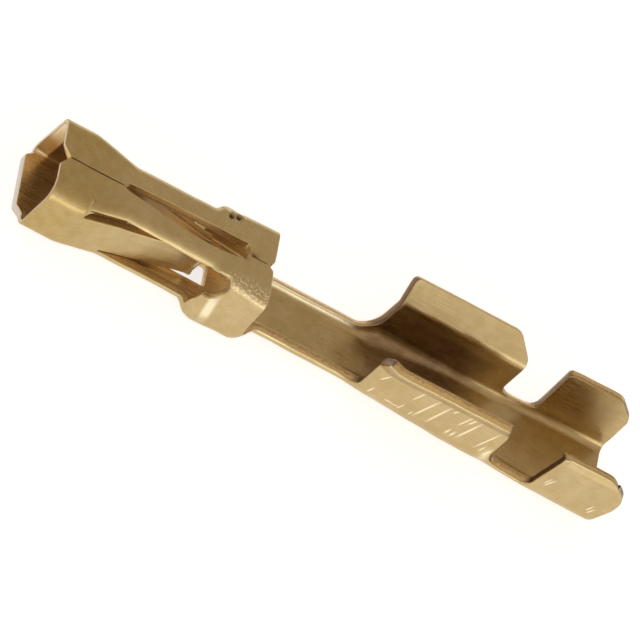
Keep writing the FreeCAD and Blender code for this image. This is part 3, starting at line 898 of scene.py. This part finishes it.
# %% helpers that make a node group and place it in a material
def group(name, inputs, outputs):
    tree = bpy.data.node_groups.new(name, "ShaderNodeTree")
    for label, value in inputs.items():
        kind = "NodeSocketVector" if value is None else "NodeSocketFloat"
        socket = tree.interface.new_socket(label, in_out="INPUT", socket_type=kind)
        if value is not None:
            socket.default_value = value
    for label in outputs:
        tree.interface.new_socket(label, in_out="OUTPUT", socket_type="NodeSocketFloat")
    return tree, tree.nodes.new("NodeGroupInput").outputs, tree.nodes.new("NodeGroupOutput").inputs


def place_group(tree, made, inputs):
    node = tree.nodes.new("ShaderNodeGroup")
    node.node_tree = made
    return feed(tree, node, inputs).outputs


def finished(made):
    print("group", made.name, "with", ", ".join(item.name for item in made.interface.items_tree))
    return made


# %% [markdown]
# ## Rolling grain
# The strip was rolled before it was stamped, so fine lines run along its whole length, on the floor and
# up the walls alike. The group reads the place in the blank, squeezes it along the strip and takes a
# noise, which gives long thin lines that turn with every fold.

# %% the group for rolling grain
THROUGH_SHEET = 7.0
tree, given, gives = group("rolling_grain", {"Blank": None, "Lines": 16.0, "Length": 1.2}, ["Grain"])
per_mm = calc(tree, "DIVIDE", 1.0, given["Length"])
stretch = {"X": per_mm, "Y": given["Lines"], "Z": THROUGH_SHEET}
stretched = add(tree, "CombineXYZ", None, stretch).outputs[0]
squeezed = vectors(tree, "MULTIPLY", given["Blank"], stretched)
grain_noise = {"Vector": squeezed, "Scale": 1.0, "Detail": 3.0, "Roughness": 0.65}
noise = add(tree, "TexNoise", None, grain_noise)
tree.links.new(ramp(tree, noise.outputs["Fac"], 0.3, 0.7), gives["Grain"])
grain_group = finished(tree)

# %% [markdown]
# ## Plating tone
# Thin plating isn't the same thickness everywhere, so its colour drifts in soft patches. The group gives
# a mask of such patches.

# %% the group for patches of tone
tree, given, gives = group("tone_patches", {"Place": None, "Per mm": 1.0, "Spread": 0.2}, ["Patch"])
noise = add(tree, "TexNoise", None, {"Vector": given["Place"], "Scale": given["Per mm"], "Detail": 2.5})
low = calc(tree, "SUBTRACT", 0.5, given["Spread"])
high = calc(tree, "ADD", 0.5, given["Spread"])
tree.links.new(ramp(tree, noise.outputs["Fac"], low, high), gives["Patch"])
tone_group = finished(tree)

# %% [markdown]
# ## Specks
# Sheared faces and hammered bends are covered in tiny facets that each catch the light or lose it. The
# group thresholds a fine noise, so the amount sets how much of the surface the specks cover.

# %% the group for specks
tree, given, gives = group("specks", {"Place": None, "Per mm": 22.0, "Amount": 0.5}, ["Speck", "Height"])
noise = add(tree, "TexNoise", None, {"Vector": given["Place"], "Scale": given["Per mm"], "Detail": 2.0})
edge = calc(tree, "SUBTRACT", 0.75, calc(tree, "MULTIPLY", given["Amount"], 0.5))
full = calc(tree, "ADD", edge, 0.08)
tree.links.new(ramp(tree, noise.outputs["Fac"], edge, full), gives["Speck"])
tree.links.new(noise.outputs["Fac"], gives["Height"])
speck_group = finished(tree)

# %% [markdown]
# ## Scratches
# The near wings were scraped by the press as they rose: rows of short bright strokes. The collar has one
# broad scrape. Each stroke is a straight line in the blank with its own ends and width. The group
# measures a point's distance from that line and fades the stroke out towards both ends.

# %% the group for one scratch
tree, given, gives = group("scratch", {"Blank": None, "From": None, "To": None, "Width": 0.05}, ["Mark"])
flat_place = vectors(tree, "MULTIPLY", given["Blank"], (1, 1, 0))
reach = vectors(tree, "SUBTRACT", flat_place, given["From"])
line = vectors(tree, "SUBTRACT", given["To"], given["From"])
along_line = vectors(tree, "DOT_PRODUCT", reach, line)
share = calc(tree, "DIVIDE", along_line, vectors(tree, "DOT_PRODUCT", line, line))
held = ramp(tree, share, 0.0, 1.0, smooth=False)
nearest = add(tree, "VectorMath", {"operation": "SCALE"}, {0: line, "Scale": held}).outputs[0]
apart = vectors(tree, "LENGTH", vectors(tree, "SUBTRACT", reach, nearest), (0, 0, 0))
wide = calc(tree, "MULTIPLY", given["Width"], 0.5)
mark = ramp(tree, apart, wide, calc(tree, "MULTIPLY", wide, 0.3), 0.0, 1.0)
begins, ends = ramp(tree, held, 0.0, 0.25), ramp(tree, held, 1.0, 0.6)
depth = calc(tree, "MULTIPLY_ADD", calc(tree, "MULTIPLY", begins, ends), 0.75, 0.25)
tree.links.new(calc(tree, "MULTIPLY", mark, depth), gives["Mark"])
scratch_group = finished(tree)

# %% [markdown]
# ## Gold plating
# Thin gold over rolled copper alloy is a metal with a satin sheen. The socket is plated thicker and
# looks yellower, and the crimp barrels are paler. The lining is painted lighter in the socket and darker
# in the barrels, with painted shade deepest in the wire barrel. The grain changes colour, roughness and
# height a little, the rubbed collar bend is full of specks, and the scratches show bright metal. Painted
# highlights and painted shade sit on a few places. One shader does it all, because it is one finish.

# %% start a material, read a mask from the mesh, and end as a metal
def new_material(name):
    material = bpy.data.materials.new(name)
    material.use_nodes = True
    material.node_tree.nodes.clear()
    return material, material.node_tree


def attribute(tree, name):
    return add(tree, "Attribute", {"attribute_name": name}).outputs


def metal_finish(tree, colour, rough, height, relief):
    """A metal whose surface stands out by relief, in metres, where height is 1."""
    bump = add(tree, "Bump", None, {"Strength": 1.0, "Distance": relief, "Height": height})
    metal = {"Base Color": colour, "Metallic": 1.0, "Roughness": rough, "Normal": bump.outputs["Normal"]}
    shader = add(tree, "BsdfPrincipled", None, metal)
    add(tree, "OutputMaterial", None, {"Surface": shader.outputs["BSDF"]})
    print(len(tree.nodes), "nodes make this finish")


# %% the plating's colours and the effects placed in it
SOCKET_GOLD = (0.48, 0.345, 0.13)
BARREL_GOLD = (0.56, 0.425, 0.21)
SOCKET_LINING_LIT = (0.76, 0.55, 0.3)
BARREL_LINING_SHADED = (0.5, 0.36, 0.17)
BARREL_SHADE_TONE = (0.2, 0.12, 0.08)
OLIVE = (0.42, 0.31, 0.12)
GRAIN_SHADE = (0.45, 0.33, 0.16)
PALE_GOLD = (0.72, 0.58, 0.34)
BRIGHT_METAL = (0.98, 0.87, 0.6)
SHADE_TONE = (0.09, 0.05, 0.025)
plate, tree = new_material("gold_plate")
place = attribute(tree, "blank")["Vector"]
split = add(tree, "SeparateXYZ", None, {0: place}).outputs
grain = place_group(tree, grain_group, {"Blank": place, "Lines": 15.0, "Length": 1.6})["Grain"]
fine_grain = place_group(tree, grain_group, {"Blank": place, "Lines": 42.0, "Length": 0.5})["Grain"]
patch = place_group(tree, tone_group, {"Place": place, "Per mm": 1.3, "Spread": 0.16})["Patch"]
small_patch = place_group(tree, tone_group, {"Place": place, "Per mm": 4.5, "Spread": 0.2})["Patch"]
specks = place_group(tree, speck_group, {"Place": place, "Per mm": 20.0, "Amount": 0.5})
rubbed = attribute(tree, "rub")["Fac"]
shade_spots = attribute(tree, "painted_shade")["Fac"]
highlighted = attribute(tree, "painted_highlight")["Fac"]

# %% the plating's tone: by place, then painted shade in the wire barrel, patches, grain and glints
colour = blend(tree, ramp(tree, split["X"], 0.6, 2.2), SOCKET_GOLD, BARREL_GOLD)
# painted light and shade: the lining is painted lighter in the socket and darker in the barrels
lining = blend(tree, ramp(tree, split["X"], 4.6, 5.4), SOCKET_LINING_LIT, BARREL_LINING_SHADED)
colour = blend(tree, ramp(tree, split["Z"], 0.6, 0.9), colour, lining)
glint = calc(tree, "MULTIPLY", specks["Speck"], rubbed)
for mask, tone, weight in (
    # painted shade in the wire barrel's lining
    (attribute(tree, "barrel_shade")["Fac"], BARREL_SHADE_TONE, 0.9),
    (patch, OLIVE, 0.32),
    (grain, GRAIN_SHADE, 0.12),
    (small_patch, PALE_GOLD, 0.2),
    (glint, BRIGHT_METAL, 0.7),
):
    colour = blend(tree, mask, colour, tone, weight)

# %% scratches on the near side: x and height of both ends, and the width. The last is the broad scrape
SCRATCHES = (
    (7.81, 0.42, 7.83, 0.65, 0.04), (8.14, 0.46, 8.19, 0.7, 0.045), (8.13, 0.97, 8.27, 1.28, 0.04),
    (8.53, 0.53, 8.72, 0.53, 0.05), (8.7, 0.49, 8.88, 0.55, 0.04), (8.86, 0.45, 8.94, 0.68, 0.04),
    (8.96, 0.9, 9.08, 1.29, 0.05), (9.14, 0.45, 9.18, 0.6, 0.04), (9.23, 0.48, 9.45, 1.28, 0.065),
    (9.54, 0.49, 9.73, 1.3, 0.065), (9.81, 1.12, 9.9, 1.26, 0.06), (10.02, 0.47, 10.06, 0.67, 0.07),
    (10.09, 0.85, 10.23, 1.32, 0.05), (10.14, 0.47, 10.18, 0.66, 0.07), (10.24, 1.03, 10.33, 1.28, 0.06),
    (10.26, 0.5, 10.47, 1.28, 0.07), (10.71, 0.5, 10.93, 1.25, 0.05), (10.85, 0.47, 10.89, 0.69, 0.05),
    (10.98, 0.41, 11.05, 0.68, 0.07), (12.36, 0.62, 12.42, 0.86, 0.04), (12.4, 0.55, 12.5, 0.88, 0.05),
    (13.47, 0.48, 13.53, 0.7, 0.05), (13.52, 0.42, 13.6, 0.62, 0.05), (4.29, 0.28, 4.19, 1.0, 0.27),
)
marks = None
for x0, z0, x1, z1, width in SCRATCHES:
    ends = {"From": (x0, blank_at(x0, "near wall", z0), 0), "To": (x1, blank_at(x1, "near wall", z1), 0)}
    mark = place_group(tree, scratch_group, {"Blank": place, "Width": width, **ends})["Mark"]
    marks = mark if marks is None else calc(tree, "MAXIMUM", marks, mark)
marks = calc(tree, "MULTIPLY", marks, ramp(tree, split["Z"], 0.5, 0.4))
colour = blend(tree, marks, colour, BRIGHT_METAL, 0.85)
# painted highlights on the mouth's far lining, the near wing's end, the springs' ends and the channel's wall
colour = blend(tree, highlighted, colour, BRIGHT_METAL, 0.9)
# painted shade in the pits, at the slot's rear end and on the floor behind the lobed window
colour = blend(tree, shade_spots, colour, SHADE_TONE)
print("scratches:", len(SCRATCHES))

# %% roughness, height and shader of the plating
SMOOTHEST, GRAINIEST = 0.24, 0.34
GRAIN_RELIEF = 0.8e-6
rough = ramp(tree, grain, 0.0, 1.0, SMOOTHEST, GRAINIEST)
for mask, rougher in ((patch, 0.06), (rubbed, 0.12), (shade_spots, 0.3)):
    rough = calc(tree, "ADD", rough, calc(tree, "MULTIPLY", mask, rougher))
height = calc(tree, "MULTIPLY_ADD", grain, 1.0, calc(tree, "MULTIPLY", fine_grain, 0.5))
height = calc(tree, "MULTIPLY_ADD", calc(tree, "MULTIPLY", specks["Height"], rubbed), 9.0, height)
height = calc(tree, "SUBTRACT", height, calc(tree, "MULTIPLY", marks, 3.0))
metal_finish(tree, colour, rough, height, GRAIN_RELIEF)

# %% [markdown]
# ## Cut edges
# A sheared face is bright where the punch slid over it, and dark and rough where the metal tore off. The
# third part of the place in the blank is the depth through the sheet, so it tells the two zones apart.
# The lip's face is bare and silvery, and the faces that look along the strip carry painted shade, the
# darkest of all.

# %% the material for the cut edges
BURNISHED_CUT = (0.68, 0.48, 0.2)
TORN_CUT = (0.44, 0.28, 0.12)
CUT_SPECK = (0.8, 0.66, 0.42)
END_FACE_SHADE = (0.15, 0.085, 0.06)
BARE_LIP = (0.66, 0.62, 0.58)
CUT_RELIEF = 4e-6
edge_metal, tree = new_material("sheared_edge")
place = attribute(tree, "blank")["Vector"]
split = add(tree, "SeparateXYZ", None, {0: place}).outputs
streak = place_group(tree, grain_group, {"Blank": place, "Lines": 9.0, "Length": 0.08})["Grain"]
specks = place_group(tree, speck_group, {"Place": place, "Per mm": 20.0, "Amount": 0.45})
torn_from = calc(tree, "MULTIPLY_ADD", streak, 0.25, 0.42)
torn = ramp(tree, split["Z"], torn_from, calc(tree, "ADD", torn_from, 0.15))
colour = blend(tree, torn, BURNISHED_CUT, TORN_CUT)
colour = blend(tree, specks["Speck"], colour, CUT_SPECK, 0.5)
# painted shade on the barrels' cut faces that look along the strip
face_normal = add(tree, "NewGeometry").outputs["True Normal"]
facing = add(tree, "SeparateXYZ", None, {0: face_normal}).outputs["X"]
fore_and_aft_shade = ramp(tree, calc(tree, "ABSOLUTE", facing), 0.35, 0.7)
fore_and_aft_shade = calc(tree, "MULTIPLY", fore_and_aft_shade, ramp(tree, split["X"], 5.4, 5.8))
colour = blend(tree, fore_and_aft_shade, colour, END_FACE_SHADE, 0.85)
silver = ramp(tree, split["X"], 0.1, -0.1)
colour = blend(tree, silver, colour, BARE_LIP, 0.9)
rough = ramp(tree, torn, 0.0, 1.0, 0.3, 0.5)
metal_finish(tree, colour, rough, specks["Height"], CUT_RELIEF)
mesh.materials.append(plate)
mesh.materials.append(edge_metal)
print("faces with the cut edge's finish:", int(materials.sum()), "of", len(materials))

# %% [markdown]
# ## Studio
# Metal shows what stands round it. The contact lies on a white table in a white room. A wide warm panel
# that glows faintly hangs over it, so that its upward faces stay dim and even, and a long soft light
# stands low beside it, which draws the bright lines along its bends. The camera looks past both.

# %% what the camera and mirrors see as white
def seen_in_view(tree):
    """1 for rays from the camera, from a mirror or through glass, and 0 for the light that objects share."""
    path = add(tree, "LightPath").outputs
    seen = calc(tree, "MAXIMUM", path["Is Camera Ray"], path["Is Glossy Ray"])
    return calc(tree, "MAXIMUM", seen, path["Is Transmission Ray"])


# %% a matt surface that also glows
def matt_and_glowing(tree, colour, glow_colour, strength):
    diffuse = add(tree, "BsdfDiffuse", None, {"Color": (*colour, 1)}).outputs[0]
    glow = add(tree, "Emission", None, {"Color": (*glow_colour, 1), "Strength": strength}).outputs[0]
    both = add(tree, "AddShader", None, {0: diffuse, 1: glow}).outputs[0]
    add(tree, "OutputMaterial", None, {"Surface": both})


# %% the table
FLOOR_LIFT = 0.69
bpy.ops.mesh.primitive_plane_add(size=0.6)
table = bpy.context.object
table.name = "table"
white, tree = new_material("white_table")
lift = calc(tree, "MULTIPLY", seen_in_view(tree), FLOOR_LIFT)
matt_and_glowing(tree, (0.7, 0.7, 0.72), (1, 1, 1), lift)
table.data.materials.append(white)

# %% the panel over the contact
PANEL_OUTLINE = ((-0.14, -0.085), (0.18, -0.085), (0.18, 0.14), (-0.14, 0.14))
PANEL_HEIGHT = 0.055
PANEL_GLOW = 0.2
panel_mesh = bpy.data.meshes.new("grey_panel")
panel_mesh.from_pydata([(x, y, PANEL_HEIGHT) for x, y in PANEL_OUTLINE], [], [(3, 2, 1, 0)])
panel = bpy.data.objects.new("grey_panel", panel_mesh)
bpy.context.scene.collection.objects.link(panel)
panel.visible_camera = False
grey, tree = new_material("grey_panel")
matt_and_glowing(tree, (0.85, 0.76, 0.64), (1, 0.9, 0.8), PANEL_GLOW)
panel.data.materials.append(grey)

# %% the world
world = bpy.data.worlds.new("studio")
bpy.context.scene.world = world
world.use_nodes = True
tree = world.node_tree
background = tree.nodes["Background"]
background.inputs["Color"].default_value = (1, 1, 1, 1)
ROOM_LIGHT = 0.7
strength = calc(tree, "MULTIPLY_ADD", seen_in_view(tree), 1 - ROOM_LIGHT, ROOM_LIGHT)
tree.links.new(strength, background.inputs["Strength"])

# %% the long soft light
lamp = bpy.data.lights.new("soft_box", "AREA")
lamp.shape = "RECTANGLE"
lamp.size = 0.16
lamp.size_y = 0.018
lamp.energy = 0.02
soft_box = bpy.data.objects.new("soft_box", lamp)
soft_box.location = (0.035, -0.105, 0.011)
soft_box.rotation_euler = Vector(soft_box.location).to_track_quat("Z", "Y").to_euler()
bpy.context.scene.collection.objects.link(soft_box)

# %% the camera, far off with a long lens
RIGHT = Vector((0.830, 0.141, 0.540))
UP = Vector((-0.437, 0.765, 0.472))
BACK = Vector((-0.347, -0.628, 0.697))
PIXELS = 640
PER_MM = 50.0
AWAY = 600.0
MOUTH_PIXEL = (14.6, 222.0)
camera_data = bpy.data.cameras.new("camera")
camera_data.sensor_width = 36
camera_data.lens = PER_MM * AWAY / PIXELS * camera_data.sensor_width
camera_data.clip_start = 0.01
camera_data.clip_end = 10
anchor = Vector((mouth_at, -1.0, 0.0))
across = (PIXELS / 2 - MOUTH_PIXEL[0]) / PER_MM
upward = (MOUTH_PIXEL[1] - PIXELS / 2) / PER_MM
target = anchor + RIGHT * across + UP * upward
camera = bpy.data.objects.new("camera", camera_data)
turned_to = Matrix((RIGHT, UP, BACK)).transposed().to_4x4()
camera.matrix_world = Matrix.Translation((target + BACK * AWAY) * MM) @ turned_to
bpy.context.scene.collection.objects.link(camera)
bpy.context.scene.camera = camera
bpy.context.scene.view_settings.view_transform = "Standard"
